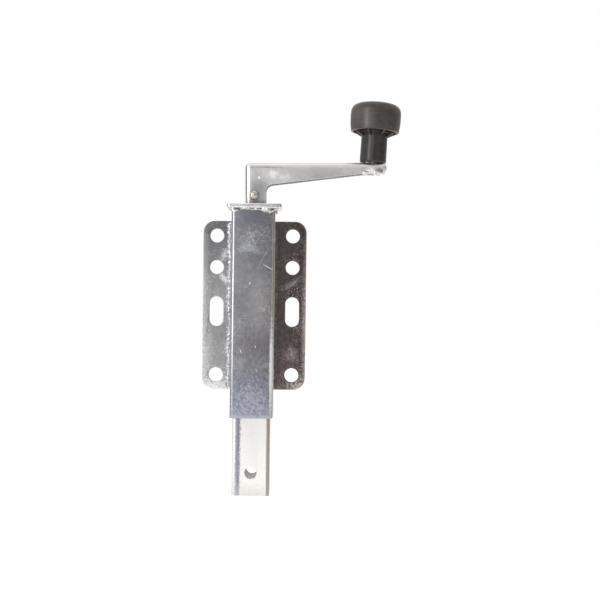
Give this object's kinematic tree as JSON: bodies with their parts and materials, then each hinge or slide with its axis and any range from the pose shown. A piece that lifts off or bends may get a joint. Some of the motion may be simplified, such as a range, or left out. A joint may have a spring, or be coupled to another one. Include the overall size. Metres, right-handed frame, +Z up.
{
  "type": "telescopic screw jack",
  "caption": "Crank-operated screw jack: a square leg telescopes from a square tube welded to a flat bolt-on plate, with a cranked handle on top.",
  "frame": {"origin": "centre of the mounting plate's back face", "axes": "+Z up along the spindle, +Y out of the mounting face towards what the plate is bolted to, +X towards the crank handle at rest"},
  "size_m": [0.1841, 0.0483, 0.3631],
  "materials": {
    "zinc_plated_steel": "zinc plated, mottled satin",
    "zinc_plated_plate": "zinc plated, scuffed",
    "zinc_plated_crank": "zinc plated pressing, satin",
    "zinc_plated_leg": "bright zinc plated",
    "weld_metal": "rippled weld bead, zinc plated",
    "machined_steel": "machined, lightly oiled",
    "rivet_steel": "hammered rivet head",
    "bronze": "sintered bronze",
    "black_plastic": "moulded, semi-gloss",
    "charcoal_plastic": "moulded, fine matt grain"
  },
  "bodies": {
    "housing": {"outer_tube": "zinc_plated_steel", "mounting_plate": "zinc_plated_plate", "top_plate": "zinc_plated_steel", "side_weld_left": "weld_metal", "side_weld_right": "weld_metal", "cap_weld": "weld_metal", "spindle_bush": "bronze", "bearing_race_upper": "machined_steel"},
    "crank": {"spindle": "machined_steel", "thrust_collar": "machined_steel", "collar_pin": "machined_steel", "bearing_race_lower": "machined_steel", "stop_washer": "machined_steel", "stop_pin": "machined_steel", "crank_washer": "machined_steel", "crank_arm": "zinc_plated_crank", "crank_rivet": "rivet_steel", "knob_stud": "machined_steel", "knob_washer": "machined_steel", "knob_clip": "machined_steel"},
    "ball_cage": {"bearing_cage": "machined_steel", "bearing_ball_01": "machined_steel", "bearing_ball_02": "machined_steel", "bearing_ball_03": "machined_steel", "bearing_ball_04": "machined_steel", "bearing_ball_05": "machined_steel", "bearing_ball_06": "machined_steel", "bearing_ball_07": "machined_steel", "bearing_ball_08": "machined_steel", "bearing_ball_09": "machined_steel", "bearing_ball_10": "machined_steel", "bearing_ball_11": "machined_steel", "bearing_ball_12": "machined_steel"},
    "leg": {"inner_tube": "zinc_plated_leg", "spindle_nut": "machined_steel", "nut_pin_left": "machined_steel", "nut_pin_right": "machined_steel"},
    "handle": {"knob_stem": "black_plastic", "knob_cap": "charcoal_plastic"}
  },
  "joints": [
    {"name": "crank_turn", "type": "hinge", "parent": "housing", "child": "crank", "pos_m": [0, -0.0243, 0.1], "axis": [0, 0, 1], "range_deg": [0, 9900]},
    {"name": "leg_slide", "type": "slide", "parent": "housing", "child": "leg", "axis": [0, 0, -1], "range_m": [0, 0.11]},
    {"name": "cage_turn", "type": "hinge", "parent": "housing", "child": "ball_cage", "pos_m": [0, -0.0243, 0.0842], "axis": [0, 0, 1], "range_deg": [0, 4950]},
    {"name": "handle_spin", "type": "hinge", "parent": "crank", "child": "handle", "pos_m": [0.10954, -0.0243, 0.13363], "axis": [0.0541, 0, 0.9985], "continuous": true}
  ],
  "couplings": [
    {"joint": "leg_slide", "follows": "crank_turn", "m_per_rad": 0.00063661},
    {"joint": "cage_turn", "follows": "crank_turn", "ratio": 0.5}
  ]
}
